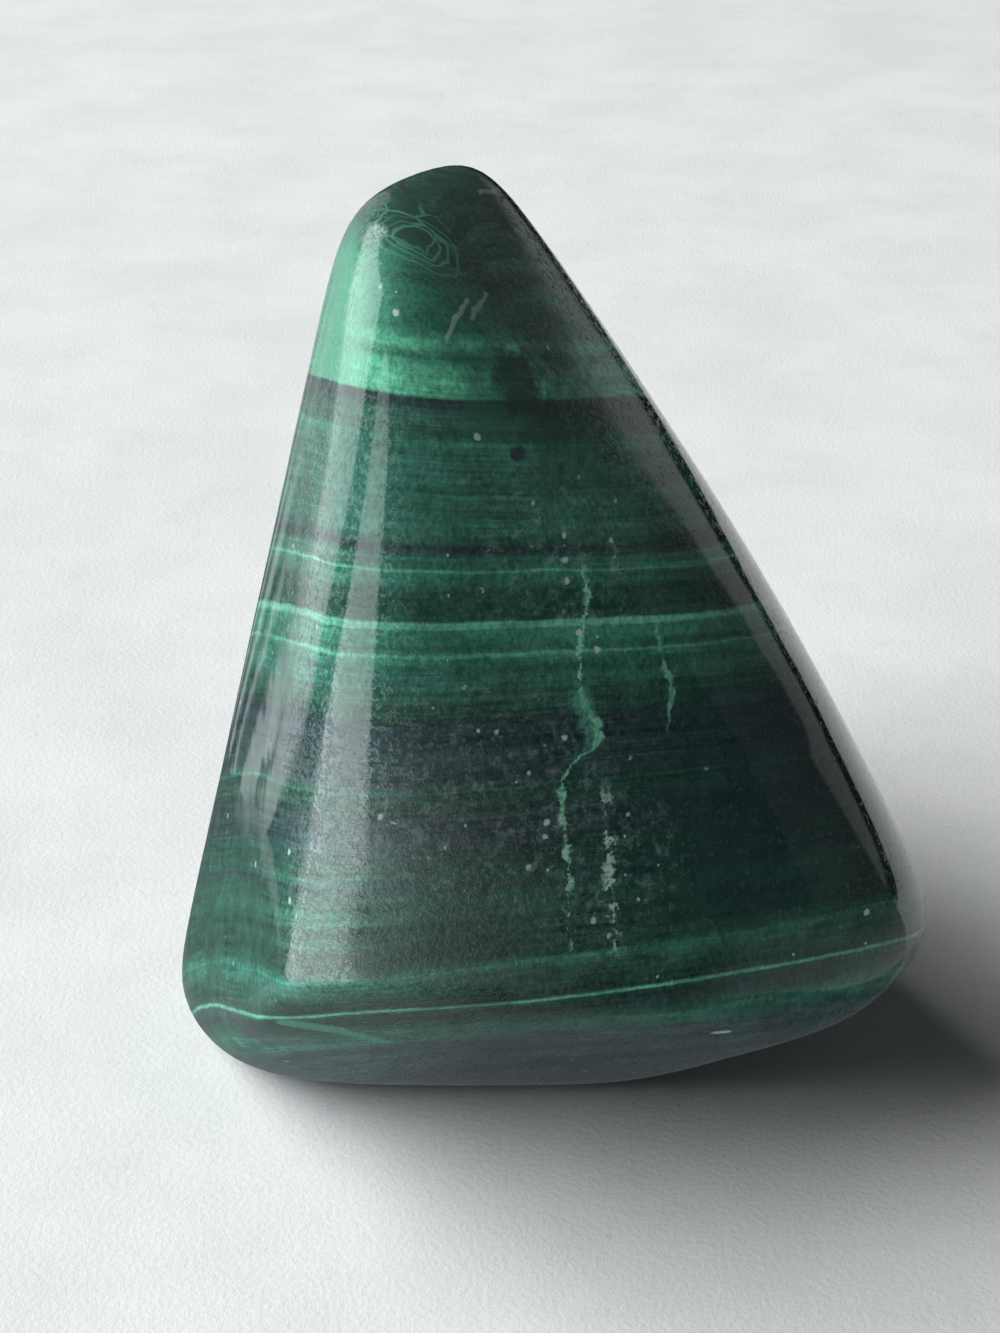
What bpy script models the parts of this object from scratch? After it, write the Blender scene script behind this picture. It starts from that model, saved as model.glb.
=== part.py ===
import math

import bmesh
import bpy
import numpy as np

# A tumbled malachite: one natural stone, a blunt lopsided pyramid standing on a flat worn base.
# The rough block is bounded by broad broken faces, and tumbling has rounded every edge alike.
# Lengths here are in millimetres and angles in degrees; the mesh is made in metres.
# The origin is the middle of the stone's box, on the surface that it stands on.

MM = 0.001

BLOCK_CENTRE = (-2.127, -1.672, 9.05)  # inside the stone, where each face's reach starts
WEAR = 0.72  # how far tumbling has eaten into the edges: larger is rounder

# face: (turn from the front towards the left, rise above the horizon, reach from the centre)
FACES = {
    "front": (-19, 15.5, 10.6),
    "corner": (29, 16.5, 11.9),
    "left": (76, 11.5, 7.2),
    "back_left": (121, 15.5, 7.5),
    "back_right": (-124, 20.5, 10.15),
    "right": (-98, 25, 11.75),
    "right_bevel": (-61, 28.5, 13.3),
    "right_shoulder": (-80, 41.5, 12.85),
    "tip_slope": (62, 68, 21.9),
    "crown": (-55, 90, 19.9),
    "base": (0, -90, 9.4),
    "front_foot": (0, -39, 7.7),
    "left_foot": (45, -39, 10.5),
    "right_foot": (-71, -46, 11.0),
    "back_foot": (175, -30, 11.8),
}

BLANK_CENTRE_Z = 12.7  # the round blank sits higher than the block's centre, nearer the tip
BLANK_STRETCH = 1.35  # and is taller than it is wide, so that the tip gets enough of its points
BLANK_CUTS = 23  # cuts across each side of the cube that the blank is made from
SOLVE_STEPS = 16

STONE_COLOUR = (0.022, 0.061, 0.048, 1.0)
STONE_ROUGHNESS = 0.16
STONE_IOR = 1.78


def clear_scene():
    for thing in list(bpy.data.objects):
        bpy.data.objects.remove(thing, do_unlink=True)


def face_normal(turn, rise):
    turn, rise = math.radians(turn), math.radians(rise)
    return (
        -math.sin(turn) * math.cos(rise),
        -math.cos(turn) * math.cos(rise),
        math.sin(rise),
    )


def worn_surface(start, directions):
    """Points where rays from start leave the block, its edges blended by a smooth maximum."""
    normals = np.array([face_normal(turn, rise) for turn, rise, reach in FACES.values()])
    reaches = np.array([reach for turn, rise, reach in FACES.values()])
    reaches = reaches - normals @ (np.array(start) - np.array(BLOCK_CENTRE))
    slopes = directions @ normals.T
    facing = slopes > 1e-6
    distance = np.where(facing, reaches / np.where(facing, slopes, 1.0), np.inf).min(axis=1)
    for _ in range(SOLVE_STEPS):
        excess = (slopes * distance[:, None] - reaches) / WEAR
        highest = excess.max(axis=1, keepdims=True)
        share = np.exp(excess - highest)
        total = share.sum(axis=1)
        outside = WEAR * (highest[:, 0] + np.log(total))
        distance = distance - outside / ((share * slopes).sum(axis=1) / total)
    return np.array(start) + directions * distance[:, None]


def round_blank():
    """A cube cut into a grid, with its points spread evenly round a tall ball."""
    mesh = bmesh.new()
    bmesh.ops.create_cube(mesh, size=2.0)
    bmesh.ops.subdivide_edges(mesh, edges=mesh.edges[:], cuts=BLANK_CUTS, use_grid_fill=True)
    for point in mesh.verts:
        point.co = [math.tan(value * math.pi / 4) for value in point.co]
        point.co.z *= BLANK_STRETCH
        point.co.normalize()
    return mesh


def wear_down(mesh):
    start = (BLOCK_CENTRE[0], BLOCK_CENTRE[1], BLANK_CENTRE_Z)
    directions = np.array([point.co[:] for point in mesh.verts])
    directions /= np.linalg.norm(directions, axis=1, keepdims=True)
    for point, place in zip(mesh.verts, worn_surface(start, directions)):
        point.co = place * MM


def flatten_base(mesh):
    """Cut the underside level, so that the stone stands on a real flat face."""
    cut = bmesh.ops.bisect_plane(
        mesh,
        geom=mesh.verts[:] + mesh.edges[:] + mesh.faces[:],
        dist=1e-6,
        plane_co=(0, 0, 0),
        plane_no=(0, 0, 1),
        clear_inner=True,
    )
    rim = [part for part in cut["geom_cut"] if isinstance(part, bmesh.types.BMEdge)]
    filled = bmesh.ops.contextual_create(mesh, geom=rim)
    for point in {corner for face in filled["faces"] for corner in face.verts}:
        point.co.z = 0.0
    return filled["faces"]


def stone_material():
    material = bpy.data.materials.new("malachite")
    material.use_nodes = True
    shader = material.node_tree.nodes["Principled BSDF"]
    shader.inputs["Base Color"].default_value = STONE_COLOUR
    shader.inputs["Roughness"].default_value = STONE_ROUGHNESS
    shader.inputs["Metallic"].default_value = 0.0
    shader.inputs["IOR"].default_value = STONE_IOR
    material.diffuse_color = STONE_COLOUR
    return material


def make_stone(collection):
    mesh = round_blank()
    wear_down(mesh)
    base = flatten_base(mesh)
    bmesh.ops.recalc_face_normals(mesh, faces=mesh.faces[:])
    for face in mesh.faces:
        face.smooth = True
    for face in base:
        face.smooth = False
    data = bpy.data.meshes.new("stone")
    mesh.to_mesh(data)
    mesh.free()
    data.materials.append(stone_material())
    stone = bpy.data.objects.new("stone", data)
    collection.objects.link(stone)
    return stone


def main():
    clear_scene()
    collection = bpy.data.collections.new("tumbled_malachite")
    bpy.context.scene.collection.children.link(collection)
    make_stone(collection)


main()
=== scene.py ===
import math

import bpy
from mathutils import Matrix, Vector


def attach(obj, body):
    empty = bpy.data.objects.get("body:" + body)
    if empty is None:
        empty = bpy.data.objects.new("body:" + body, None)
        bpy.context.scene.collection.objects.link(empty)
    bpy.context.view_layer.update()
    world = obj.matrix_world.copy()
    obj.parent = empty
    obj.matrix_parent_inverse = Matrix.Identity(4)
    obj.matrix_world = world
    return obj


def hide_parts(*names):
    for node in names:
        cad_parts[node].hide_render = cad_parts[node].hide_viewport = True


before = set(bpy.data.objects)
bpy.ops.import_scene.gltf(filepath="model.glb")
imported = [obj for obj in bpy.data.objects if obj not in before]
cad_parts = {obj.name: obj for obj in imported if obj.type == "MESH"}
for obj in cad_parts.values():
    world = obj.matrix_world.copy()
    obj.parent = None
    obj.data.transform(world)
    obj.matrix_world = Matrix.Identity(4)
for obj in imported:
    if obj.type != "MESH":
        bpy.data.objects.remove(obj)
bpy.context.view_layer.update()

millimetre = 0.001


# Small helpers for node trees

def addNode(tree, kind, **settings):
    made = tree.nodes.new(kind)
    for name, value in settings.items():
        setattr(made, name, value)
    return made


def feed(tree, socket, value):
    if isinstance(value, bpy.types.NodeSocket):
        tree.links.new(value, socket)
    elif value is not None:
        socket.default_value = value


def maths(tree, operation, *values, clamp=False):
    made = addNode(tree, "ShaderNodeMath", operation=operation, use_clamp=clamp)
    for socket, value in zip(made.inputs, values):
        feed(tree, socket, value)
    return made.outputs[0]


def product(tree, *values):
    result = values[0]
    for value in values[1:]:
        result = maths(tree, "MULTIPLY", result, value)
    return result


def vectors(tree, operation, *values, scale=None):
    made = addNode(tree, "ShaderNodeVectorMath", operation=operation)
    for socket, value in zip(made.inputs, values):
        feed(tree, socket, value)
    if scale is not None:
        feed(tree, made.inputs["Scale"], scale)
    return made.outputs["Value" if operation in ("DOT_PRODUCT", "DISTANCE") else "Vector"]


def parts(tree, vector):
    made = addNode(tree, "ShaderNodeSeparateXYZ")
    feed(tree, made.inputs[0], vector)
    return made.outputs


def joined(tree, x, y, z):
    made = addNode(tree, "ShaderNodeCombineXYZ")
    for socket, value in zip(made.inputs, (x, y, z)):
        feed(tree, socket, value)
    return made.outputs[0]


def ranged(tree, value, low, high, toLow=0.0, toHigh=1.0, smooth=True):
    made = addNode(tree, "ShaderNodeMapRange")
    made.interpolation_type = "SMOOTHSTEP" if smooth else "LINEAR"
    for socket, number in zip(made.inputs, (value, low, high, toLow, toHigh)):
        feed(tree, socket, number)
    return made.outputs[0]


def noiseOf(tree, vector, scale, detail=2.0, roughness=0.5, distortion=0.0):
    made = addNode(tree, "ShaderNodeTexNoise")
    feed(tree, made.inputs["Vector"], vector)
    settings = {"Scale": scale, "Detail": detail, "Roughness": roughness, "Distortion": distortion}
    for name, value in settings.items():
        feed(tree, made.inputs[name], value)
    return made.outputs[0]


def mixed(tree, factor, first, second):
    made = addNode(tree, "ShaderNodeMix", data_type="RGBA", blend_type="MIX")
    for socket, value in ((made.inputs[0], factor), (made.inputs[6], first), (made.inputs[7], second)):
        feed(tree, socket, value)
    return made.outputs[2]


def shaded(tree, value, spans):  # a value's usual span, spread to another
    return ranged(tree, value, *spans[0], *spans[1])


def painted(tree, colour, mask, strength, name):
    return mixed(tree, product(tree, mask, strength), colour, palette[name])


def swirled(tree, place, amount, scale=0.8):  # places shifted by a soft swirl, so that lines there bend
    made = addNode(tree, "ShaderNodeTexNoise")
    feed(tree, made.inputs["Vector"], place)
    made.inputs["Scale"].default_value = scale
    made.inputs["Detail"].default_value = 2.0
    bend = vectors(tree, "SUBTRACT", made.outputs["Color"], (0.5, 0.5, 0.5))
    return vectors(tree, "ADD", place, vectors(tree, "SCALE", bend, scale=amount))


def bumped(tree, height, depth, strength=1.0):  # depth in mm
    made = addNode(tree, "ShaderNodeBump")
    made.inputs["Strength"].default_value = strength
    made.inputs["Distance"].default_value = depth * millimetre
    feed(tree, made.inputs["Height"], height)
    return made.outputs[0]


def curveOf(tree, value, points):  # a drawn path: value against place, as a float curve
    points = sorted(points)
    lows = [min(point[axis] for point in points) for axis in (0, 1)]
    spans = [max(point[axis] for point in points) - low for axis, low in enumerate(lows)]
    made = addNode(tree, "ShaderNodeFloatCurve")
    dots = made.mapping.curves[0].points
    places = [((point[0] - lows[0]) / spans[0], (point[1] - lows[1]) / spans[1]) for point in points]
    dots[0].location, dots[1].location = places[0], places[-1]
    for place in places[1:-1]:
        dots.new(*place)
    for dot in dots:
        dot.handle_type = "AUTO_CLAMPED"
    made.mapping.update()
    feed(tree, made.inputs["Value"], ranged(tree, value, lows[0], lows[0] + spans[0], smooth=False))
    return maths(tree, "MULTIPLY_ADD", made.outputs[0], spans[1], lows[1])


def placed(name, data):
    made = bpy.data.objects.new(name, data)
    bpy.context.scene.collection.objects.link(made)
    return made


def newGroup(name, kind, inputs, outputs):
    group = bpy.data.node_groups.new(name, kind)
    for label, socketType, value in inputs:
        socket = group.interface.new_socket(label, in_out="INPUT", socket_type=socketType)
        if value is not None:
            socket.default_value = value
    for label, socketType in outputs:
        group.interface.new_socket(label, in_out="OUTPUT", socket_type=socketType)
    return group, addNode(group, "NodeGroupInput").outputs, addNode(group, "NodeGroupOutput").inputs


def useGroup(tree, group, **values):
    made = addNode(tree, tree.bl_idname.replace("Tree", "Group"), node_tree=group)
    for name, value in values.items():
        feed(tree, made.inputs[name], value)
    return made.outputs


def tone(red, green, blue):  # a colour read as 0 to 255, made linear
    linear = [
        value / 12.92 if value <= 0.04045 else ((value + 0.055) / 1.055) ** 2.4
        for value in (red / 255, green / 255, blue / 255)
    ]
    return (*linear, 1.0)


# The stone's shape: a rough block of broad faces, its edges worn round by tumbling

block = {
    "inputs": {
        "Grid Points": 108,
        "Wear": 0.72,  # mm, larger is rounder
        "Foot Edge Wear": 0.30,  # the edge between the front and the foot is worn less
        "Foot Edge Height": 9.6,
        "Block Centre": (-2.127, -1.672, 9.05),  # mm, where each face's reach starts
        "Blank Centre": (-2.127, -1.672, 12.7),
        "Blank Stretch": 1.35,
        "Solve Steps": 12,
        "Base Softness": 0.12,
        "Ripple": 0.05,  # mm, the broad unevenness that tumbling leaves
        "Ripple Seed": 3.7,
    },
    "footEdgeFront": (-3.0, -8.0),  # y and x in mm where the crisper edge fades in
    "footEdgeLeft": (7.5, 3.5),
    "footEdgeBand": ((-4.5, -1.5), (4.5, 1.5)),  # and heights below and above it
    "rippleScales": (0.22, 0.9),
    "smallRipple": 0.18,  # the small ripples' share of the broad ones
    "rippleStart": (0.3, 2.5),  # mm above the base
    "faces": {  # turn from the front to the left, rise above the horizon, reach in mm
        "front": (-19, 15.5, 10.6),
        "corner": (29, 16.5, 11.9),
        "left": (76, 11.5, 7.2),
        "backLeft": (121, 15.5, 7.5),
        "backRight": (-124, 20.5, 10.15),
        "right": (-98, 25, 11.75),
        "rightBevel": (-61, 28.5, 13.3),
        "rightShoulder": (-80, 41.5, 12.85),
        "tipSlope": (62, 68, 21.9),
        "crown": (-55, 90, 19.9),
        "base": (0, -90, 9.4),
        "frontFoot": (0, -39, 7.7),
        "leftFoot": (45, -39, 10.5),
        "rightFoot": (-71, -46, 11.0),
        "backFoot": (175, -30, 11.8),
    },
}


def faceNormal(turn, rise):  # degrees from the front to the left, and above the horizon
    turn, rise = math.radians(turn), math.radians(rise)
    return (-math.sin(turn) * math.cos(rise), -math.cos(turn) * math.cos(rise), math.sin(rise))


def facePullGroup():  # adds one face's share to the smooth maximum, and to its slope along the ray
    group, given, made = newGroup(
        "facePull",
        "GeometryNodeTree",
        [
            ("From Centre", "NodeSocketVector", None),
            ("Ray", "NodeSocketVector", None),
            ("Face Normal", "NodeSocketVector", None),
            ("Reach", "NodeSocketFloat", 10.0),
            ("Wear", "NodeSocketFloat", 1.0),
            ("Pull", "NodeSocketFloat", 0.0),
            ("Lean", "NodeSocketFloat", 0.0),
        ],
        [("Pull", "NodeSocketFloat"), ("Lean", "NodeSocketFloat")],
    )
    height = vectors(group, "DOT_PRODUCT", given["From Centre"], given["Face Normal"])
    excess = maths(group, "DIVIDE", maths(group, "SUBTRACT", height, given["Reach"]), given["Wear"])
    share = maths(group, "EXPONENT", excess)
    slope = vectors(group, "DOT_PRODUCT", given["Ray"], given["Face Normal"])
    feed(group, made["Pull"], maths(group, "ADD", given["Pull"], share))
    feed(group, made["Lean"], maths(group, "MULTIPLY_ADD", share, slope, given["Lean"]))
    return group


def setPosition(tree, geometry, position=None, offset=None):
    made = addNode(tree, "GeometryNodeSetPosition")
    feed(tree, made.inputs["Geometry"], geometry)
    feed(tree, made.inputs["Position"], position)
    feed(tree, made.inputs["Offset"], offset)
    return made.outputs[0]


def wornBlockTree(material):
    group, given, made = newGroup(
        "wornBlock",
        "GeometryNodeTree",
        [
            ("Grid Points", "NodeSocketInt", 40),
            ("Wear", "NodeSocketFloat", 1.0),
            ("Foot Edge Wear", "NodeSocketFloat", 0.5),
            ("Foot Edge Height", "NodeSocketFloat", 9.0),
            ("Block Centre", "NodeSocketVector", None),
            ("Blank Centre", "NodeSocketVector", None),
            ("Blank Stretch", "NodeSocketFloat", 1.0),
            ("Solve Steps", "NodeSocketInt", 8),
            ("Base Softness", "NodeSocketFloat", 0.1),
            ("Ripple", "NodeSocketFloat", 0.05),
            ("Ripple Seed", "NodeSocketFloat", 0.0),
        ],
        [("Geometry", "NodeSocketGeometry")],
    )
    place = addNode(group, "GeometryNodeInputPosition").outputs[0]
    cube = addNode(group, "GeometryNodeMeshCube")
    cube.inputs["Size"].default_value = (2.0, 2.0, 2.0)
    for socket in list(cube.inputs)[1:4]:
        feed(group, socket, given["Grid Points"])

    # the round blank: rays spread evenly, then out to the nearest plane of the block
    quarter, smallestSlope = math.pi / 4, 0.001
    across, deep, high = [
        maths(group, "TANGENT", product(group, part, quarter)) for part in parts(group, place)
    ]
    stretched = product(group, high, given["Blank Stretch"])
    ray = vectors(group, "NORMALIZE", joined(group, across, deep, stretched))
    shift = vectors(group, "SUBTRACT", given["Blank Centre"], given["Block Centre"])
    nearest = None
    for turn, rise, reach in block["faces"].values():
        normal = faceNormal(turn, rise)
        left = maths(group, "SUBTRACT", reach, vectors(group, "DOT_PRODUCT", shift, normal))
        slope = maths(group, "MAXIMUM", vectors(group, "DOT_PRODUCT", ray, normal), smallestSlope)
        distance = maths(group, "DIVIDE", left, slope)
        nearest = distance if nearest is None else maths(group, "MINIMUM", nearest, distance)
    start = vectors(group, "ADD", given["Blank Centre"], vectors(group, "SCALE", ray, scale=nearest))
    blank = setPosition(group, cube.outputs["Mesh"], position=start)

    # wear it down: each step moves the points in along their rays to the blended surface
    enter = addNode(group, "GeometryNodeRepeatInput")
    leave = addNode(group, "GeometryNodeRepeatOutput")
    enter.pair_with_output(leave)
    feed(group, enter.inputs["Iterations"], given["Solve Steps"])
    feed(group, enter.inputs["Geometry"], blank)
    pull = facePullGroup()
    x, y, z = parts(group, place)
    fromEdge = maths(group, "SUBTRACT", z, given["Foot Edge Height"])
    below, above = [ranged(group, fromEdge, far, near) for far, near in block["footEdgeBand"]]
    nearFront = ranged(group, y, *block["footEdgeFront"])
    nearLeft = ranged(group, x, *block["footEdgeLeft"])
    footEdge = product(group, nearFront, nearLeft, product(group, below, above))
    lessWear = maths(group, "SUBTRACT", given["Foot Edge Wear"], given["Wear"])
    wear = maths(group, "MULTIPLY_ADD", footEdge, lessWear, given["Wear"])
    fromCentre = vectors(group, "SUBTRACT", place, given["Block Centre"])
    inward = vectors(group, "NORMALIZE", vectors(group, "SUBTRACT", place, given["Blank Centre"]))
    total, lean = 0.0, 0.0
    for turn, rise, reach in block["faces"].values():
        step = useGroup(group, pull, **{
            "From Centre": fromCentre, "Ray": inward, "Face Normal": faceNormal(turn, rise),
            "Reach": float(reach), "Wear": wear, "Pull": total, "Lean": lean,
        })
        total, lean = step["Pull"], step["Lean"]
    outside = product(group, wear, maths(group, "LOGARITHM", total, math.e))
    move = maths(group, "DIVIDE", product(group, outside, total), lean)
    backward = vectors(group, "SCALE", inward, scale=product(group, move, -1.0))
    moved = setPosition(group, enter.outputs["Geometry"], offset=backward)
    feed(group, leave.inputs["Geometry"], moved)

    # the flat worn face that the stone stands on
    level = maths(group, "SMOOTH_MAX", z, 0.0, given["Base Softness"])
    standing = setPosition(group, leave.outputs["Geometry"], position=joined(group, x, y, level))

    # broad ripples, fading out at the base
    seeded = vectors(group, "ADD", place, joined(group, given["Ripple Seed"], 0.0, 0.0))
    broad, small = [
        maths(group, "SUBTRACT", noiseOf(group, seeded, scale, detail=1.0), 0.5)
        for scale in block["rippleScales"]
    ]
    swell = maths(group, "MULTIPLY_ADD", small, block["smallRipple"], broad)
    fade = ranged(group, z, *block["rippleStart"])
    amount = product(group, swell, given["Ripple"], fade)
    normal = addNode(group, "GeometryNodeInputNormal").outputs[0]
    rippled = setPosition(group, standing, offset=vectors(group, "SCALE", normal, scale=amount))

    sized = setPosition(group, rippled, position=vectors(group, "SCALE", place, scale=millimetre))
    realized = addNode(group, "GeometryNodeRealizeInstances")
    feed(group, realized.inputs[0], sized)
    dressed = addNode(group, "GeometryNodeSetMaterial")
    feed(group, dressed.inputs["Geometry"], realized.outputs[0])
    dressed.inputs["Material"].default_value = material
    feed(group, made["Geometry"], dressed.outputs[0])
    return group


def setInputs(modifier, **values):  # by each socket's identifier
    items = modifier.node_group.interface.items_tree
    sockets = {item.name: item.identifier for item in items if item.in_out == "INPUT"}
    for name, value in values.items():
        modifier[sockets[name]] = value


def plainMesh(piece):  # the evaluated shape as a mesh of its own, with no modifier left
    seen = piece.evaluated_get(bpy.context.evaluated_depsgraph_get())
    mesh = bpy.data.meshes.new_from_object(seen)
    piece.modifiers.clear()
    piece.data = mesh
    mesh.name = piece.name
    return mesh


def makeStone(material):
    mesh = bpy.data.meshes.new("malachiteStone")
    stone = placed("malachiteStone", mesh)
    wear = stone.modifiers.new("wornBlock", "NODES")
    wear.node_group = wornBlockTree(material)
    setInputs(wear, **block["inputs"])
    mesh = plainMesh(stone)
    mesh.shade_smooth()
    return stone


# The stone's colour: fine layers that lean back through the block

palette = {
    "ash": tone(54, 76, 77),
    "ink": tone(42, 59, 62),
    "slate": tone(44, 64, 63),
    "bottle": tone(38, 68, 59),
    "moss": tone(42, 78, 67),
    "fern": tone(49, 88, 76),
    "leaf": tone(50, 98, 85),
    "jade": tone(54, 112, 94),
    "line": tone(86, 152, 131),
    "bright": tone(86, 168, 136),
    "pale": tone(130, 200, 165),
    "blueShade": tone(33, 50, 51),
    "chalk": tone(165, 195, 188),
}

layers = {
    "origin": (0.146, -0.041, 0.0),  # mm, added to a place before layers and marks are measured
    "inputs": {
        "Lean X": -0.27,  # height added per mm
        "Lean Y": 0.77,
        "Fan X": 0.015,  # and per square mm
        "Fan Y": -0.0163,
        "Wave": 0.16,  # mm that the layers wander, broad to fine
        "Curl": 0.09,
        "Fray": 0.03,
    },
    "wanders": (("Wave", 0.11, 1.0), ("Curl", 0.6, 2.0), ("Fray", 4.5, 2.0)),  # noise scale and detail
    "knotPlace": (-3.0, -3.9, 27.7),
    "knotSize": 1.6,
    "knotSag": 0.9,
    "litPatchEdge": (22.08, 22.14),  # where the painted light patch stops
    "bands": [  # height in mm along the layers, and the tone there
        (-4.0, "ash"), (-1.6, "ash"), (-1.3, "slate"), (-1.0, "ash"), (0.4, "ash"), (0.9, "leaf"),
        (1.3, "leaf"), (1.6, "moss"), (1.9, "bottle"), (2.1, "ink"), (2.3, "bottle"),
        # 2.53 to 2.58: a thin pale line along the edge between front and foot, partly a layer and partly
        #               painted reflection of the bright paper
        (2.46, "moss"), (2.53, "line"), (2.58, "line"), (2.65, "bottle"), (3.0, "bottle"),
        (3.2, "moss"), (3.6, "fern"), (3.98, "leaf"), (4.06, "jade"), (4.12, "leaf"),
        (4.4, "moss"), (4.9, "bottle"), (5.3, "moss"), (5.6, "bottle"), (6.0, "moss"),
        (6.5, "moss"), (6.95, "bottle"), (7.08, "ink"), (7.2, "moss"), (7.7, "bottle"),
        (8.0, "bottle"), (8.5, "slate"), (9.3, "slate"), (9.7, "bottle"), (10.15, "bottle"),
        (10.24, "leaf"), (10.34, "bottle"), (10.5, "slate"), (11.6, "slate"), (12.0, "ink"),
        (12.35, "ink"), (12.7, "moss"), (13.2, "fern"), (13.7, "leaf"), (14.1, "leaf"),
        (14.45, "jade"), (14.55, "line"), (14.63, "jade"), (14.75, "leaf"), (14.9, "jade"),
        (15.15, "jade"), (15.32, "jade"), (15.40, "line"), (15.54, "line"), (15.62, "moss"),
        (16.0, "moss"), (16.5, "moss"), (16.8, "leaf"), (17.04, "jade"), (17.1, "line"),
        (17.18, "jade"), (17.40, "fern"), (17.46, "jade"), (17.54, "fern"), (17.72, "slate"),
        (17.82, "slate"), (17.95, "fern"), (18.4, "leaf"), (19.2, "leaf"), (19.7, "leaf"),
        (20.2, "leaf"), (20.6, "leaf"), (20.84, "jade"), (20.98, "leaf"), (21.2, "fern"),
        (21.65, "moss"), (21.85, "slate"), (22.04, "slate"), (22.12, "bright"), (22.8, "bright"),
        (23.2, "jade"), (23.5, "bright"), (23.9, "jade"), (24.4, "jade"), (24.9, "jade"),
        (25.2, "fern"), (25.6, "jade"), (26.0, "leaf"), (26.7, "fern"), (27.3, "moss"),
        (30.0, "moss"),
    ],
}


def bandColour(tree, height, stops):  # a ramp holds at most 32 stops, so the bands are spread over several
    perRamp = 26
    colour = None
    for first in range(0, len(stops) - 1, perRamp - 1):
        part = stops[first:first + perRamp]
        low, high = part[0][0], part[-1][0]
        made = addNode(tree, "ShaderNodeValToRGB")
        made.color_ramp.interpolation = "LINEAR"
        dots = made.color_ramp.elements
        dots[0].position, dots[1].position = 0.0, 1.0
        dots[0].color, dots[1].color = palette[part[0][1]], palette[part[-1][1]]
        for place, name in part[1:-1]:
            dots.new((place - low) / (high - low)).color = palette[name]
        feed(tree, made.inputs[0], ranged(tree, height, low, high, smooth=False))
        above = maths(tree, "GREATER_THAN", height, low)
        colour = made.outputs[0] if colour is None else mixed(tree, above, colour, made.outputs[0])
    return colour


def layerHeightGroup():
    group, given, made = newGroup(
        "layerHeight",
        "ShaderNodeTree",
        [
            ("Place", "NodeSocketVector", None),
            ("Lean X", "NodeSocketFloat", 0.0),
            ("Lean Y", "NodeSocketFloat", 0.0),
            ("Fan X", "NodeSocketFloat", 0.0),
            ("Fan Y", "NodeSocketFloat", 0.0),
            ("Wave", "NodeSocketFloat", 0.3),
            ("Curl", "NodeSocketFloat", 0.1),
            ("Fray", "NodeSocketFloat", 0.02),
        ],
        [("Height", "NodeSocketFloat")],
    )
    x, y, z = parts(group, given["Place"])
    slopeX = maths(group, "MULTIPLY_ADD", given["Fan X"], z, given["Lean X"])
    slopeY = maths(group, "MULTIPLY_ADD", given["Fan Y"], z, given["Lean Y"])
    height = maths(group, "MULTIPLY_ADD", slopeY, y, maths(group, "MULTIPLY_ADD", slopeX, x, z))
    for name, scale, detail in layers["wanders"]:
        swing = noiseOf(group, given["Place"], scale, detail=detail)
        swing = maths(group, "MULTIPLY_ADD", swing, 2.0, -1.0)
        height = maths(group, "MULTIPLY_ADD", swing, given[name], height)
    feed(group, made["Height"], height)
    return group


def layerHeight(tree, place):  # how far along the layers a place lies, in mm
    height = useGroup(tree, layerHeightGroup(), Place=place, **layers["inputs"])["Height"]
    away = vectors(tree, "DISTANCE", place, layers["knotPlace"])
    fromKnot = maths(tree, "DIVIDE", away, layers["knotSize"])
    knot = maths(tree, "EXPONENT", product(tree, fromKnot, fromKnot, -1.0))
    return maths(tree, "MULTIPLY_ADD", knot, layers["knotSag"], height)


fineLayers = {
    "along": 0.035,  # a step along a layer counts this much of one across it
    "laminae": {"scale": 2.6, "detail": 4.0, "roughness": 0.65},
    "laminaeRange": ((0.34, 0.66), (0.72, 1.32)),  # the noise's usual span, and the shade it gives
    "hairlines": {"scale": 12.0, "detail": 2.0, "roughness": 0.6},
    "hairlineRange": ((0.36, 0.64), (0.80, 1.20)),
    "presence": {"scale": 0.25, "detail": 2.0},
    "presenceRange": ((0.38, 0.62), (0.3, 1.0)),
}


def withLaminae(tree, colour, place, height):  # fine lines inside the bands, fading in and out along them
    x, y, z = parts(tree, place)
    across = [product(tree, part, fineLayers["along"]) for part in (x, y)]
    alongLayer = joined(tree, *across, height)
    laminae = noiseOf(tree, alongLayer, **fineLayers["laminae"])
    hairlines = noiseOf(tree, alongLayer, **fineLayers["hairlines"])
    presence = shaded(tree, noiseOf(tree, place, **fineLayers["presence"]), fineLayers["presenceRange"])
    broad = shaded(tree, laminae, fineLayers["laminaeRange"])
    fine = shaded(tree, hairlines, fineLayers["hairlineRange"])
    change = maths(tree, "SUBTRACT", product(tree, broad, fine), 1.0)
    shade = maths(tree, "MULTIPLY_ADD", change, presence, 1.0)
    return vectors(tree, "SCALE", colour, scale=shade), laminae


mottling = {
    "felt": {"scale": 8.0, "detail": 4.0, "roughness": 0.75},
    "feltStretch": (1.0, 1.0, 0.5),
    "feltRange": ((0.3, 0.7), (0.66, 1.38)),
    "cloud": {"scale": 1.1, "detail": 4.0, "roughness": 0.65},
    "cloudRange": ((0.3, 0.7), (0.78, 1.25)),
    "litSide": (-1.0, -6.0),  # x in mm where painted light fades in on the lit left side, making it paler
    "litRange": ((13.0, 11.5), (0.34, 0.95)),  # and how much, by height along the layers
    "litTop": ((22.1, 21.3), (0.3, 1.0)),
}


def withMottling(tree, colour, place, height):  # a felt of tiny fibres, with painted light making the lit left side paler
    x, y, z = parts(tree, place)
    stretched = vectors(tree, "MULTIPLY", place, mottling["feltStretch"])
    felt = shaded(tree, noiseOf(tree, stretched, **mottling["felt"]), mottling["feltRange"])
    cloud = shaded(tree, noiseOf(tree, place, **mottling["cloud"]), mottling["cloudRange"])
    # painted light: the left side, which faces the window, made paler, most of all low down and not near
    # the top
    paintedLight = product(
        tree,
        ranged(tree, x, *mottling["litSide"]),
        shaded(tree, height, mottling["litRange"]),
        shaded(tree, height, mottling["litTop"]),
    )
    lift = maths(tree, "ADD", paintedLight, 1.0)
    return vectors(tree, "SCALE", colour, scale=product(tree, product(tree, felt, cloud), lift))


# darker towards the lower right: partly the stone's own blue-black, partly painted shade
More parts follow.
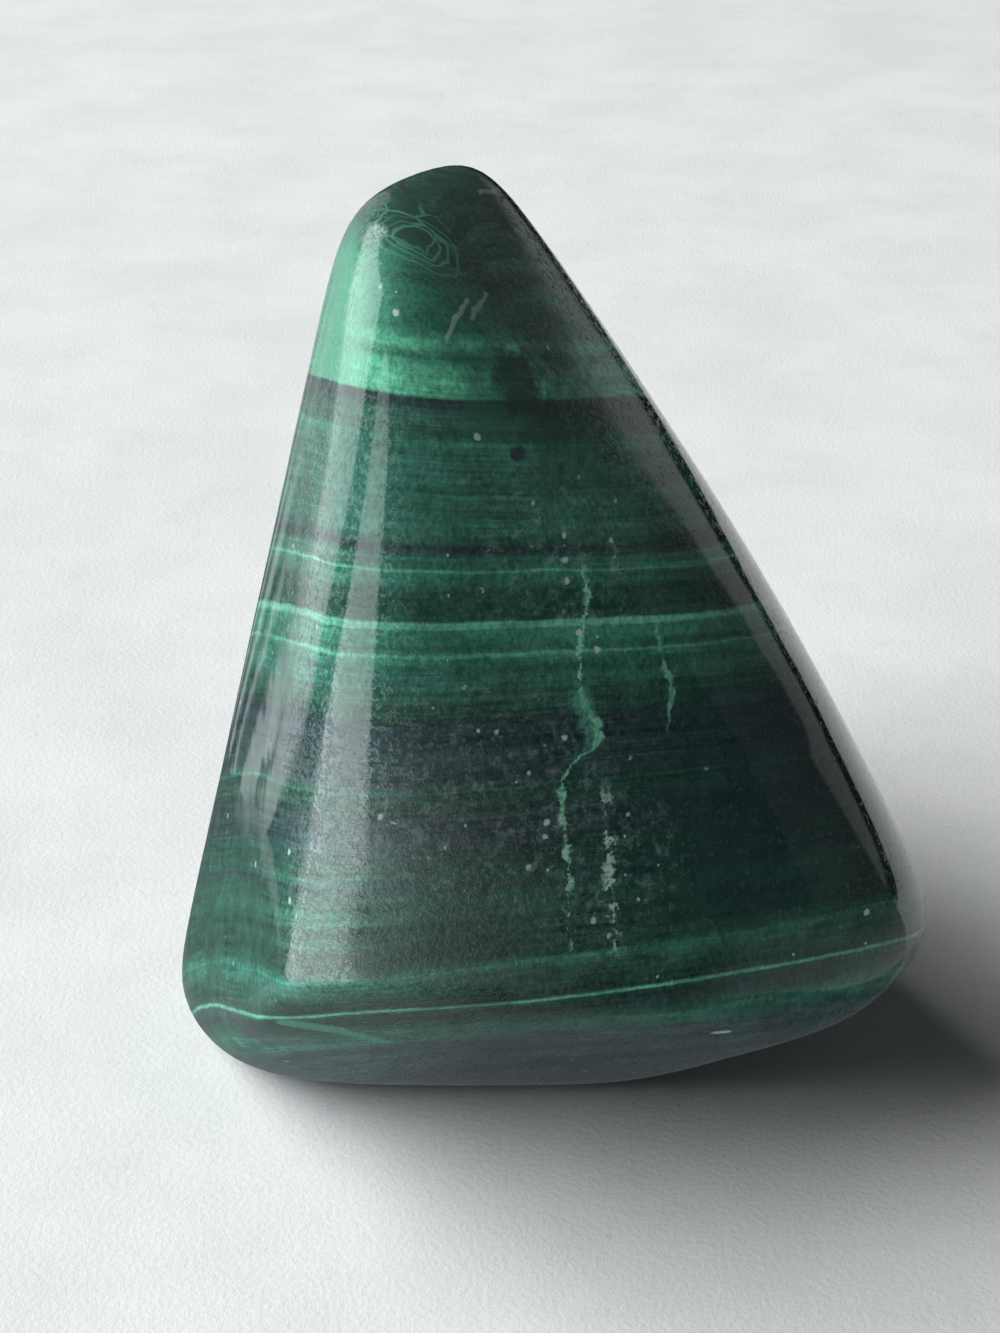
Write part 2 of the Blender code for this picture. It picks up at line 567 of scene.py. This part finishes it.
darkRight = {
    "side": (0.8, 6.0),  # x in mm
    "top": (19.5, 15.5),  # z in mm
    "bottom": (3.4, 5.5),  # height along the layers
    "strength": 0.7,
}
patches = [  # centre in mm, reach, raggedness, strength and tone
    ((-0.9, -7.4, 25.0), 1.7, 0.55, 0.5, "leaf"),
    ((-0.3, -7.0, 25.2), 1.2, 0.85, 0.8, "slate"),
    ((0.2, -7.2, 24.0), 1.2, 0.9, 0.45, "slate"),
    ((1.8, -5.6, 24.8), 2.6, 0.8, 0.4, "moss"),
    ((0.6, -4.6, 26.2), 2.6, 0.8, 0.6, "slate"),
    ((-1.3, -4.4, 27.3), 1.5, 0.5, 0.5, "slate"),
    # painted light: the bright layer's tone spread over the tip's left side, where the window lights it
    ((-6.1, -5.4, 26.3), 3.9, 0.22, 0.85, "bright"),
]
spotEdge = {"scale": 2.2, "detail": 5.0, "roughness": 0.7}
spotCore = 0.45  # the share of a spot's reach where it starts to fade


def nearSpot(tree, place, centre, reach, ragged):  # 1 in the middle of a spot, 0 outside it
    away = vectors(tree, "DISTANCE", place, centre)
    swing = noiseOf(tree, place, **spotEdge)
    edge = maths(tree, "MULTIPLY_ADD", swing, 2.0 * ragged * reach, -ragged * reach)
    return ranged(tree, maths(tree, "ADD", away, edge), reach * spotCore, reach, 1.0, 0.0)


def withPatches(tree, colour, place, height):  # a darker blue-black lower right, partly the stone's own colour and partly painted shade, and patches near the tip, one of them painted light
    x, y, z = parts(tree, place)
    dark = product(
        tree,
        ranged(tree, x, *darkRight["side"]),
        ranged(tree, z, *darkRight["top"]),
        ranged(tree, height, *darkRight["bottom"]),
    )
    colour = painted(tree, colour, dark, darkRight["strength"], "blueShade")
    for centre, reach, ragged, strength, name in patches:
        spot = nearSpot(tree, place, centre, reach, ragged)
        if name == "bright":  # stops at the band's crisp lower edge
            spot = product(tree, spot, ranged(tree, height, *layers["litPatchEdge"]))
        colour = painted(tree, colour, spot, strength, name)
    return colour


lace = {
    "place": (-3.1, -4.3, 28.2),
    "reach": 1.75,
    "ragged": 0.12,
    "ground": 0.7,  # strength of the dark ground
    "cells": 1.1,
    "bend": 0.8,
    "line": 0.06,
    "strength": 0.75,
    "core": 0.4,  # the share of a thin line's half width that is solid
}
laceRings = {
    "centre": (-2.85, -4.9, 28.05),
    "radii": (0.6, 0.82, 1.1),
    "line": 0.055,
    "bend": 0.85,
    "fade": (2.2, 0.6),
    "top": (28.6, 28.1),
    "strength": 0.85,
}


def thinLine(tree, away, halfWidth):
    return ranged(tree, away, halfWidth * lace["core"], halfWidth, 1.0, 0.0)


def withLace(tree, colour, place):  # lacy cells and rings near the tip
    x, y, z = parts(tree, place)
    cells = addNode(tree, "ShaderNodeTexVoronoi", feature="DISTANCE_TO_EDGE")
    feed(tree, cells.inputs["Vector"], swirled(tree, place, lace["bend"]))
    cells.inputs["Scale"].default_value = lace["cells"]
    lines = thinLine(tree, cells.outputs["Distance"], lace["line"])
    area = nearSpot(tree, place, lace["place"], lace["reach"], lace["ragged"])
    colour = painted(tree, colour, area, lace["ground"], "moss")
    colour = painted(tree, colour, product(tree, lines, area), lace["strength"], "line")
    outward = vectors(tree, "DISTANCE", swirled(tree, place, laceRings["bend"]), laceRings["centre"])
    rings = 0.0
    for radius in laceRings["radii"]:
        away = maths(tree, "ABSOLUTE", maths(tree, "SUBTRACT", outward, radius))
        rings = maths(tree, "MAXIMUM", rings, thinLine(tree, away, laceRings["line"]))
    broken = ranged(tree, z, *laceRings["top"])
    rings = product(tree, rings, broken, ranged(tree, outward, *laceRings["fade"]))
    return painted(tree, colour, rings, laceRings["strength"], "line")


strokeLook = {
    "shake": 0.2,  # mm
    "shakeScale": 2.2,
    "edge": (0.6, 1.1),  # shares of the half width between which a stroke fades
}
scratches = [  # ends in mm, half width, strength and tone
    ((-2.11, -7.53, 26.58), (-1.87, -6.88, 26.86), 0.08, 0.6, "chalk"),
    ((-1.87, -6.88, 26.86), (-1.60, -6.04, 26.95), 0.08, 0.6, "chalk"),
    ((-1.54, -6.52, 26.69), (-1.16, -5.04, 26.75), 0.08, 0.5, "chalk"),
    ((-1.37, -0.06, 27.71), (-0.83, 1.43, 27.28), 0.09, 0.5, "chalk"),
    ((-3.34, -7.42, 27.17), (-3.32, -7.30, 27.15), 0.085, 1.0, "chalk"),
    ((5.14, -10.10, 7.22), (5.36, -10.07, 7.25), 0.18, 1.0, "chalk"),
    ((-0.41, -8.22, 23.78), (-0.36, -8.15, 23.74), 0.22, 0.9, "ink"),
    ((-1.44, -8.46, 24.37), (-1.40, -8.44, 24.34), 0.09, 0.7, "chalk"),
    ((-6.46, -10.84, 8.28), (-5.36, -10.62, 7.55), 0.45, 0.9, "bright"),
    ((-5.50, -10.76, 7.75), (-4.00, -9.62, 6.25), 0.33, 0.85, "bright"),
]


def withScratches(tree, colour, place):  # scratches, flecks and a torn patch, as short ragged strokes
    shaken = swirled(tree, place, strokeLook["shake"], strokeLook["shakeScale"])
    for first, second, width, strength, name in scratches:
        along = Vector(second) - Vector(first)
        start = vectors(tree, "SUBTRACT", shaken, first)
        reached = vectors(tree, "DOT_PRODUCT", start, along)
        share = maths(tree, "DIVIDE", reached, along.length_squared, clamp=True)
        away = vectors(tree, "DISTANCE", start, vectors(tree, "SCALE", tuple(along), scale=share))
        mark = ranged(tree, away, *[width * part for part in strokeLook["edge"]], 1.0, 0.0)
        colour = painted(tree, colour, mark, strength, name)
    return colour


veinLook = {
    "wanderScale": 2.6, "wander": 0.44,  # mm from side to side
    "swellScale": 1.9, "swellSpan": 0.22, "widest": 1.5,
    "core": 0.3,  # the share of the width that is solid
    "grainScale": 9.0, "grainSpan": (0.3, 0.6), "faintest": 0.35,
    "endFade": 0.8,  # mm
    "front": (-6.0, -5.0),  # y in mm where they stop
}
mainVein = [(21.4, 1.15), (20.0, 1.33), (18.8, 1.19)]
veins = [  # path: height and sideways place on the front face; width: half the vein's, in mm
    {
        "path": mainVein + [
            (17.6, 1.30), (16.6, 1.66), (16.2, 1.15), (15.3, 0.75), (13.8, 0.9), (12.0, 1.1),
        ],
        "width": 0.085, "top": 21.3, "bottom": 12.5, "breaks": 0.36, "strength": 0.9, "tone": "pale",
    },
    {
        "path": mainVein + [(17.6, 1.25), (16.6, 1.45), (16.2, 1.2), (15.3, 0.75), (14.6, 0.8)],
        "width": 0.26, "top": 18.4, "bottom": 15.9, "breaks": 0.30, "strength": 0.7, "tone": "line",
    },
    {
        "path": [(19.3, 3.1), (18.1, 3.37), (17.2, 3.6), (16.4, 3.5)],
        "width": 0.09, "top": 19.6, "bottom": 16.2, "breaks": 0.38, "strength": 0.55, "tone": "pale",
    },
    {
        "path": [(15.2, 1.85), (13.7, 1.96), (12.3, 2.08), (11.0, 2.2)],
        "width": 0.19, "top": 15.6, "bottom": 10.6, "breaks": 0.42, "strength": 1.0, "tone": "chalk",
    },
    {
        "path": [(15.0, 0.8), (13.7, 0.9), (12.3, 0.95), (11.0, 1.0)],
        "width": 0.15, "top": 15.0, "bottom": 10.8, "breaks": 0.46, "strength": 0.7, "tone": "chalk",
    },
]


def veinMaskGroup():
    group, given, made = newGroup(
        "veinMask",
        "ShaderNodeTree",
        [
            ("Place", "NodeSocketVector", None),
            ("Path", "NodeSocketFloat", 0.0),
            ("Width", "NodeSocketFloat", 0.1),
            ("Top", "NodeSocketFloat", 20.0),
            ("Bottom", "NodeSocketFloat", 10.0),
            ("Breaks", "NodeSocketFloat", 0.4),
        ],
        [("Mask", "NodeSocketFloat")],
    )
    x, y, z = parts(group, given["Place"])
    look = veinLook
    wander = noiseOf(group, given["Place"], look["wanderScale"], detail=4.0, roughness=0.6)
    wander = maths(group, "MULTIPLY_ADD", wander, look["wander"], -look["wander"] / 2)
    away = maths(group, "ABSOLUTE", maths(group, "ADD", maths(group, "SUBTRACT", x, given["Path"]), wander))
    swell = noiseOf(group, given["Place"], look["swellScale"], detail=4.0, roughness=0.75)
    full = maths(group, "ADD", given["Breaks"], look["swellSpan"])
    swell = ranged(group, swell, given["Breaks"], full, 0.0, look["widest"])
    width = product(group, given["Width"], swell)
    core = product(group, width, look["core"])
    line = ranged(group, away, core, maths(group, "ADD", width, 0.002), 1.0, 0.0)
    grainy = noiseOf(group, given["Place"], look["grainScale"], detail=2.0)
    grainy = ranged(group, grainy, *look["grainSpan"], look["faintest"], 1.0)
    startTop = maths(group, "SUBTRACT", given["Top"], look["endFade"])
    endBottom = maths(group, "ADD", given["Bottom"], look["endFade"])
    below = ranged(group, z, startTop, given["Top"], 1.0, 0.0)
    above = ranged(group, z, given["Bottom"], endBottom)
    front = ranged(group, y, *look["front"], 1.0, 0.0)
    ends = product(group, below, above, front)
    feed(group, made["Mask"], product(group, line, grainy, ends))
    return group


def withVeins(tree, colour, place):  # veins down the front face
    x, y, z = parts(tree, place)
    group = veinMaskGroup()
    for vein in veins:
        mask = useGroup(
            tree,
            group,
            Place=place,
            Path=curveOf(tree, z, vein["path"]),
            Width=vein["width"],
            Top=vein["top"],
            Bottom=vein["bottom"],
            Breaks=vein["breaks"],
        )["Mask"]
        colour = painted(tree, colour, mask, vein["strength"], vein["tone"])
    return colour


speckLook = {
    "scale": 2.4,
    "shake": 0.12,  # mm
    "shakeScale": 6.0,
    "bruises": [((-1.2, -10.6, 15.2), 4.2), ((0.8, -9.0, 21.2), 3.2), ((1.8, -10.4, 13.0), 3.0)],
    "ragged": 0.6,
    "rarity": 0.96,
    "bruisedRarity": -0.32,
    "size": 0.10,  # in cells
    "sizeSpread": 0.22,
    "core": 0.5,
    "strength": 0.8,
    "scuff": {"scale": 3.2, "detail": 5.0, "roughness": 0.8},
    "scuffSpan": (0.50, 0.66),
    "scuffStrength": 0.22,
}


def withSpecks(tree, colour, place):  # chalky specks: a few anywhere, more where the face is bruised
    look = speckLook
    cells = addNode(tree, "ShaderNodeTexVoronoi", feature="F1")
    feed(tree, cells.inputs["Vector"], swirled(tree, place, look["shake"], look["shakeScale"]))
    cells.inputs["Scale"].default_value = look["scale"]
    bruised = None
    for centre, reach in look["bruises"]:
        spot = nearSpot(tree, place, centre, reach, look["ragged"])
        bruised = spot if bruised is None else maths(tree, "MAXIMUM", bruised, spot)
    luck = parts(tree, cells.outputs["Color"])
    rarity = maths(tree, "MULTIPLY_ADD", bruised, look["bruisedRarity"], look["rarity"])
    chosen = maths(tree, "GREATER_THAN", luck[0], rarity)
    size = maths(tree, "MULTIPLY_ADD", luck[1], look["sizeSpread"], look["size"])
    core = product(tree, size, look["core"])
    dots = ranged(tree, cells.outputs["Distance"], core, size, 1.0, 0.0)
    speck = product(tree, dots, chosen)
    colour = painted(tree, colour, speck, look["strength"], "chalk")
    scuff = ranged(tree, noiseOf(tree, place, **look["scuff"]), *look["scuffSpan"])
    colour = painted(tree, colour, product(tree, scuff, bruised), look["scuffStrength"], "chalk")
    return colour, speck


polish = {
    "worn": ((-4.6, -10.2, 11.5), 7.0, 0.35),  # the blunt front corner: centre, reach and raggedness
    "calmLeft": (-7.2, -5.8),  # x in mm where the pits and ruffles fade in
    "calmRight": (4.5, 2.0),
    "grain": {"scale": 11.0, "detail": 2.0, "roughness": 0.6},
    "blotch": {"scale": 6.0, "detail": 4.0, "roughness": 0.75},
    "pitStart": (-0.07, 0.54),  # here and below: what wear adds, and what is there without it
    "pitSpan": 0.08,
    "roughness": 0.05,
    "pitRoughness": 0.26,
    "speckRoughness": 0.3,
    "ruffle": (0.4, 0.3),
    "dent": (-0.35, -0.30),
    "laminae": 0.08,
    "depth": 0.010,  # mm
}


def polishOf(tree, place, speck, laminae):  # mirror-smooth between tiny rough pits, crowded where worn
    look = polish
    x, y, z = parts(tree, place)
    grain = noiseOf(tree, place, **look["grain"])
    blotch = noiseOf(tree, place, **look["blotch"])
    calmLeft = ranged(tree, x, *look["calmLeft"])
    worn = product(tree, nearSpot(tree, place, *look["worn"]), calmLeft)
    start = maths(tree, "MULTIPLY_ADD", worn, *look["pitStart"])
    pit = ranged(tree, blotch, start, maths(tree, "ADD", start, look["pitSpan"]))
    pit = product(tree, pit, calmLeft)
    calm = product(tree, ranged(tree, x, *look["calmRight"]), calmLeft)
    roughness = maths(tree, "MULTIPLY_ADD", pit, look["pitRoughness"], look["roughness"])
    roughness = maths(tree, "MULTIPLY_ADD", speck, look["speckRoughness"], roughness)

    ruffle = product(tree, grain, maths(tree, "MULTIPLY_ADD", worn, *look["ruffle"]), calm)
    dent = product(tree, pit, maths(tree, "MULTIPLY_ADD", worn, *look["dent"]), calm)
    relief = maths(tree, "MULTIPLY_ADD", laminae, look["laminae"], maths(tree, "ADD", dent, ruffle))
    return roughness, bumped(tree, relief, look["depth"])


def stoneMaterial():
    material = bpy.data.materials.new("malachite")
    material.use_nodes = True
    tree = material.node_tree
    shader = tree.nodes["Principled BSDF"]
    shader.inputs["IOR"].default_value = 1.75
    shader.inputs["Specular IOR Level"].default_value = 0.5
    objectPlace = addNode(tree, "ShaderNodeTexCoord").outputs["Object"]
    place = vectors(tree, "SCALE", objectPlace, scale=1 / millimetre)
    place = vectors(tree, "ADD", place, layers["origin"])
    height = layerHeight(tree, place)
    colour = bandColour(tree, height, layers["bands"])
    colour, laminae = withLaminae(tree, colour, place, height)
    colour = withMottling(tree, colour, place, height)
    colour = withPatches(tree, colour, place, height)
    colour = withLace(tree, colour, place)
    colour = withScratches(tree, colour, place)
    colour = withVeins(tree, colour, place)
    colour, speck = withSpecks(tree, colour, place)
    roughness, normal = polishOf(tree, place, speck, laminae)
    feed(tree, shader.inputs["Base Color"], colour)
    feed(tree, shader.inputs["Roughness"], roughness)
    feed(tree, shader.inputs["Normal"], normal)
    return material


# Camera, at the photograph's angle

camera = {
    "elevation": 30.0,
    "lens": 62.0,
    "aim": (-0.976, -1.672, 14.0),  # mm
    "distance": 66.9,  # mm
    "sensor": 36.0,
    "clip": (0.001, 10.0),  # metres
}


def makeCamera():
    data = bpy.data.cameras.new("camera")
    data.lens = camera["lens"]
    data.sensor_width = camera["sensor"]
    data.clip_start, data.clip_end = camera["clip"]
    seen = placed("camera", data)
    rise = math.radians(camera["elevation"])
    back = Vector((0.0, -math.cos(rise), math.sin(rise)))
    seen.location = (Vector(camera["aim"]) + back * camera["distance"]) * millimetre
    seen.rotation_euler = (math.pi / 2 - rise, 0.0, 0.0)
    bpy.context.scene.camera = seen


# Paper, room and light

paper = {
    "half": 400.0,  # mm
    "lift": 0.02,
    "sheets": [  # what the polish sees of the paper: left, right, near and far edges in mm
        (12.0, 90.0, -6.0, 22.0),
        (-12.0, 90.0, 22.0, 112.0),
    ],
    # glowing sheets with the paper's light and shade painted in, as the polish sees it: painted shadow in
    # front of the foot and to the right of the stone, and darker strips to the left
    "dimSheets": {  # the edges, then the light from left to right, as pairs of place and light
        "corner": ((14.0, 90.0, -50.0, -6.0), [
            (14.0, 0.0), (24.0, 0.3), (34.0, 0.55), (90.0, 0.56),
        ]),
        "foot": ((-18.0, 24.0, -14.0, 0.0), [
            (-18.0, 0.20), (-13.0, 0.19), (-4.0, 0.13), (4.0, 0.08), (24.0, 0.07),
        ]),
        "left": ((-70.0, -11.0, 0.0, 112.0), [
            (-70.0, 0.22), (-26.0, 0.16), (-22.5, 0.30), (-20.5, 0.28), (-18.8, 0.07),
            (-14.0, 0.10), (-11.0, 0.36),
        ]),
    },
}

paperLook = {
    "grain": {"Grain Scale": 5.0, "Contrast": 0.35},
    "grainStrength": 0.12,
    "grainTone": tone(205, 208, 212),
    "clouds": {"scale": 0.12, "detail": 4.0, "roughness": 0.6},
    "cloudSpan": (0.3, 0.7),
    "cloudTones": (tone(228, 231, 231), tone(238, 240, 240)),
    "fibres": {"scale": 0.9, "detail": 5.0, "roughness": 0.7, "distortion": 0.6},
    "fibreWays": ((0.5, 2.2, 1.0), (2.0, 0.6, 1.0)),
    "fibreRange": ((0.52, 0.70), (0.0, 0.10)),
    "fibreTone": tone(196, 200, 206),
    "bump": 0.5,
    "depth": 0.03,  # mm
}


def fineGrainGroup():  # a fine speckle, for the paper's tooth
    group, given, made = newGroup(
        "fineGrain",
        "ShaderNodeTree",
        [
            ("Place", "NodeSocketVector", None),
            ("Grain Scale", "NodeSocketFloat", 8.0),
            ("Contrast", "NodeSocketFloat", 0.3),
        ],
        [("Grain", "NodeSocketFloat")],
    )
    coarse = noiseOf(group, given["Place"], given["Grain Scale"], detail=3.0, roughness=0.65)
    low = maths(group, "SUBTRACT", 0.5, given["Contrast"])
    high = maths(group, "ADD", 0.5, given["Contrast"])
    feed(group, made["Grain"], ranged(group, coarse, low, high))
    return group


def paperMaterial():
    material = bpy.data.materials.new("paper")
    material.use_nodes = True
    tree = material.node_tree
    shader = tree.nodes["Principled BSDF"]
    shader.inputs["Roughness"].default_value = 0.9
    shader.inputs["Specular IOR Level"].default_value = 0.2
    objectPlace = addNode(tree, "ShaderNodeTexCoord").outputs["Object"]
    place = vectors(tree, "SCALE", objectPlace, scale=1 / millimetre)
    look = paperLook
    grain = useGroup(tree, fineGrainGroup(), Place=place, **look["grain"])["Grain"]
    clouds = ranged(tree, noiseOf(tree, place, **look["clouds"]), *look["cloudSpan"])
    tint = mixed(tree, clouds, *look["cloudTones"])
    tint = mixed(tree, product(tree, grain, look["grainStrength"]), tint, look["grainTone"])
    for stretch in look["fibreWays"]:
        fibres = noiseOf(tree, vectors(tree, "MULTIPLY", place, stretch), **look["fibres"])
        tint = mixed(tree, shaded(tree, fibres, look["fibreRange"]), tint, look["fibreTone"])
    feed(tree, shader.inputs["Base Color"], tint)
    feed(tree, shader.inputs["Normal"], bumped(tree, grain, look["depth"], look["bump"]))
    return material


def flatSheet(name, material, patches, level=0.0):
    mesh = bpy.data.meshes.new(name)
    points, faces = [], []
    for left, right, near, far in patches:
        first = len(points)
        points += [(left, near, level), (right, near, level), (right, far, level), (left, far, level)]
        faces.append((first, first + 1, first + 2, first + 3))
    mesh.from_pydata([Vector(point) * millimetre for point in points], [], faces)
    mesh.materials.append(material)
    made = placed(name, mesh)
    return made


def reflectOnly(piece):
    piece.visible_camera = False
    piece.visible_diffuse = False
    piece.visible_shadow = False
    piece.visible_transmission = False


def makePaper():
    material = paperMaterial()
    half = paper["half"]
    ground = flatSheet("floorPaper", material, [(-half, half, -half, half)])
    ground.visible_glossy = False
    reflectOnly(flatSheet("floorSheet", material, paper["sheets"], paper["lift"]))
    for name, (edges, light) in paper["dimSheets"].items():
        material = glowMaterial(name + "Sheet", light, axis=0)
        reflectOnly(flatSheet(name + "Sheet", material, [edges], paper["lift"]))


cardRadius = 24.0
cardColumns = 16
barLook = {"top": 20, "foot": 0.5, "halfTurn": 0.55, "halfTurnStep": 0.35, "footLight": 0.7, "inside": 0.3}
glowTint = (0.93, 0.98, 1.0, 1.0)
bars = [  # turn and light of thin upright bars in front of the wall
    (120.2, 0.12), (122.8, 0.85), (124.6, 0.06), (127.4, 0.75), (129.6, 0.04), (133.0, 0.7),
    (136.5, 0.04), (140.5, 0.7), (145.0, 0.05),
]
# Seen only in the polish. Light: height in mm and light. Edges: height, and the turn of both edges.
# Side: the light fades in from the first x to the second, in mm.
cards = [
    {
        "name": "lowPane",
        "light": [
            (0.3, 1.5), (3, 2.6), (8, 3.8), (15, 3.6), (19, 2.5), (24, 2.0), (27, 1.9),
            (30, 1.1), (34, 0.8),
        ],
        "edges": [
            (0.3, 14, 78), (4, 14, 76), (8, 15, 74), (13, 18, 73), (16, 21, 68), (19, 24, 62),
            (22, 26, 57), (25, 28, 52.5), (28, 31, 50.5), (31, 36, 50), (34, 42, 49),
        ],
    },
    {
        "name": "haze",
        "light": [
            (0.3, 1.3), (11, 1.3), (20, 0.02), (24, 0.01),
        ],
        "side": (11.0, -11.0),
        "edges": [
            (0.3, -45, 13.9), (8, -45, 14.9), (13, -45, 17.9), (16, -45, 19), (24, -45, 22),
        ],
    },
    {
        "name": "gap",
        "light": [
            (0.3, 0.015), (46, 0.016),
        ],
        "edges": [
            (0.3, 78, 117), (2.2, 77, 114), (4.8, 76.5, 109), (7.4, 75, 103), (11, 73, 97),
            (13.7, 72, 94), (17.4, 66, 86), (21.7, 58, 77), (26.6, 52, 71), (33, 50, 67),
            (46, 40, 72),
        ],
    },
    {
        "name": "highPane",
        "light": [
            (0.3, 0.4), (1.4, 0.57), (3.2, 0.85), (7, 1.05), (11, 1.35), (14, 1.5), (20, 1.5),
            (24, 2.0), (30, 2.3), (50, 2.4),
        ],
        "edges": [
            (0.3, 117, 126), (2.2, 114, 126), (4.8, 109, 126), (7.4, 103, 124), (11, 97, 122),
            (13.7, 94, 119), (17.4, 86, 118), (21.7, 77, 119), (26.6, 71, 119), (33, 67, 122),
            (38, 70, 140), (50, 76, 165),
        ],
    },
    {
        "name": "wall",
        "light": [
            (0.3, 0.16), (5, 0.2), (8, 0.26), (14, 0.42), (38, 0.43),
        ],
        "edges": [
            (0.3, 126, 160), (4.8, 126, 160), (7.4, 124, 160), (11, 122, 160), (13.7, 119, 160),
            (17.4, 118, 160), (26, 119, 160), (38, 140, 165),
        ],
    },
    {
        "name": "farPaper",
        "light": [
            (0.3, 0.5), (3, 0.46), (6, 0.34), (9.5, 0.01),
        ],
        "side": (9.0, 21.0),
        "radius": 23.5,
        "edges": [
            (0.3, -74, -20), (3, -74, -24), (6, -74, -30), (9.5, -72, -36),
        ],
    },
]


def glowMaterial(name, light, side=None, axis=2):  # the light changes with height, or along another axis
    material = bpy.data.materials.new(name)
    material.use_nodes = True
    tree = material.node_tree
    tree.nodes.remove(tree.nodes["Principled BSDF"])
    glow = addNode(tree, "ShaderNodeEmission")
    glow.inputs["Color"].default_value = glowTint
    place = parts(tree, addNode(tree, "ShaderNodeTexCoord").outputs["Object"])
    strength = curveOf(tree, maths(tree, "DIVIDE", place[axis], millimetre), light)
    if side:
        fade = ranged(tree, place[0], side[0] * millimetre, side[1] * millimetre)
        strength = product(tree, strength, fade)
    feed(tree, glow.inputs["Strength"], strength)
    feed(tree, tree.nodes["Material Output"].inputs["Surface"], glow.outputs[0])
    return material


def makeCard(name, light, edges, radius, side=None):
    mesh = bpy.data.meshes.new(name)
    points, faces = [], []
    for height, first, second in edges:
        for column in range(cardColumns + 1):
            turn = math.radians(first + (second - first) * column / cardColumns)
            points.append(Vector((-math.sin(turn) * radius, -math.cos(turn) * radius, height)) * millimetre)
    for row in range(len(edges) - 1):
        for column in range(cardColumns):
            corner = row * (cardColumns + 1) + column
            above = corner + cardColumns + 1
            faces.append((corner, corner + 1, above + 1, above))
    mesh.from_pydata(points, [], faces)
    mesh.materials.append(glowMaterial(name, light, side))
    card = placed(name, mesh)
    reflectOnly(card)


def makeCards():
    for card in cards:
        radius = card.get("radius", cardRadius)
        makeCard(card["name"] + "Card", card["light"], card["edges"], radius, card.get("side"))
    foot, top = barLook["foot"], barLook["top"]
    for number, (turn, light) in enumerate(bars):
        width = barLook["halfTurn"] + barLook["halfTurnStep"] * (number % 3)
        edges = [(height, turn - width, turn + width) for height in (foot, top)]
        glow = [(foot, light * barLook["footLight"]), (top, light)]
        makeCard("bar%dCard" % number, glow, edges, cardRadius - barLook["inside"])


room = {  # by direction: x to the right, y to the back, z up
    "tint": (0.96, 0.985, 1.0, 1.0),
    "wallBack": (0.0, 0.12),  # a low grey wall to the right and behind
    "wallRight": (0.05, 0.4),
    "wallTop": (0.085, 0.05),
    "wallLight": 0.28,
    "floor": (-0.075, -0.055),
    "dimBack": ((-0.2, 0.6), (0.05, 0.06)),  # everything else is dim
    "front": (0.0, -0.2),
    "cameraLight": 0.80,
    "softLight": 0.035,
}


def makeWorld():
    world = bpy.data.worlds.new("room")
    bpy.context.scene.world = world
    world.use_nodes = True
    tree = world.node_tree
    background = tree.nodes["Background"]
    x, y, z = parts(tree, addNode(tree, "ShaderNodeTexCoord").outputs["Generated"])
    aboveFloor = ranged(tree, z, *room["floor"])
    greyWall = product(
        tree,
        product(tree, ranged(tree, y, *room["wallBack"]), ranged(tree, x, *room["wallRight"])),
        product(tree, aboveFloor, ranged(tree, z, *room["wallTop"])),
        room["wallLight"],
    )
    kept = maths(tree, "MAXIMUM", aboveFloor, ranged(tree, y, *room["front"]))
    dim = product(tree, shaded(tree, y, room["dimBack"]), kept)
    mirrored = maths(tree, "MAXIMUM", greyWall, dim)
    path = addNode(tree, "ShaderNodeLightPath")
    seen = product(tree, path.outputs["Is Camera Ray"], room["cameraLight"])
    soft = product(tree, path.outputs["Is Diffuse Ray"], room["softLight"])
    shiny = product(tree, path.outputs["Is Glossy Ray"], mirrored)
    background.inputs["Color"].default_value = room["tint"]
    feed(tree, background.inputs["Strength"], maths(tree, "ADD", seen, maths(tree, "ADD", soft, shiny)))


windowLight = {  # degrees, mm and watts
    "turn": 85.5,
    "rise": 42.0,
    "distance": 1200.0,
    "width": 1300.0,
    "height": 900.0,
    "power": 26.2,
}


def makeLight():
    data = bpy.data.lights.new("window", "AREA")
    data.shape = "RECTANGLE"
    data.size, data.size_y = windowLight["width"] * millimetre, windowLight["height"] * millimetre
    data.energy = windowLight["power"]
    window = placed("window", data)
    toLight = Vector(faceNormal(windowLight["turn"], windowLight["rise"]))
    window.location = toLight * windowLight["distance"] * millimetre
    window.rotation_mode = "QUATERNION"
    window.rotation_quaternion = toLight.to_track_quat("Z", "Y")
    window.visible_glossy = False


bpy.context.scene.view_settings.view_transform = "Standard"
stone = makeStone(stoneMaterial())
print("stone made,", len(stone.data.polygons), "faces")
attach(stone, "root")
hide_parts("stone")
makePaper()
makeCards()
makeWorld()
makeLight()
makeCamera()
print("paper, cards, light and camera placed")
